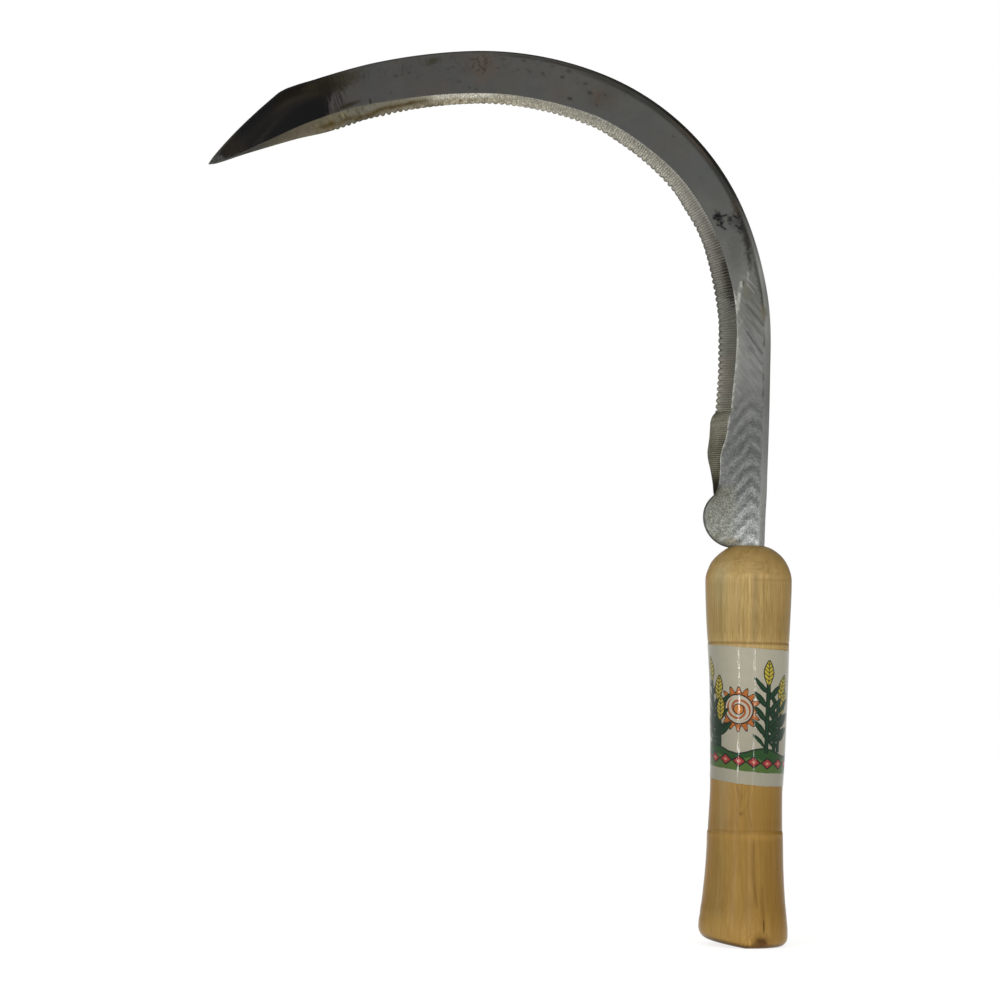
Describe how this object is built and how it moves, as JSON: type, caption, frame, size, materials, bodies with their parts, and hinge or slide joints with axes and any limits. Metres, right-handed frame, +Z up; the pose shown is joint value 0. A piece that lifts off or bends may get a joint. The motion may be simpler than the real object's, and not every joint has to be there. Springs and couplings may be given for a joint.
{
  "type": "sickle",
  "caption": "Hand sickle with a toothed hook blade whose tang is set in a turned wooden handle with a printed label wrap.",
  "frame": {"origin": "middle of the flat butt at the lower end of the handle", "axes": "+Z up the handle's axis towards the blade, the hook lies in the XZ plane with its point towards -X, and -Y is the side with the ground bevel and the front of the label"},
  "size_m": [0.2222, 0.0334, 0.3341],
  "materials": {
    "steel": "forged and ground, stained",
    "wood": "varnished",
    "resin": "set filler",
    "film": "printed and glossy"
  },
  "bodies": {
    "root": {"blade": "steel", "handle": "wood", "tang_resin": "resin", "label": "film"}
  },
  "joints": []
}
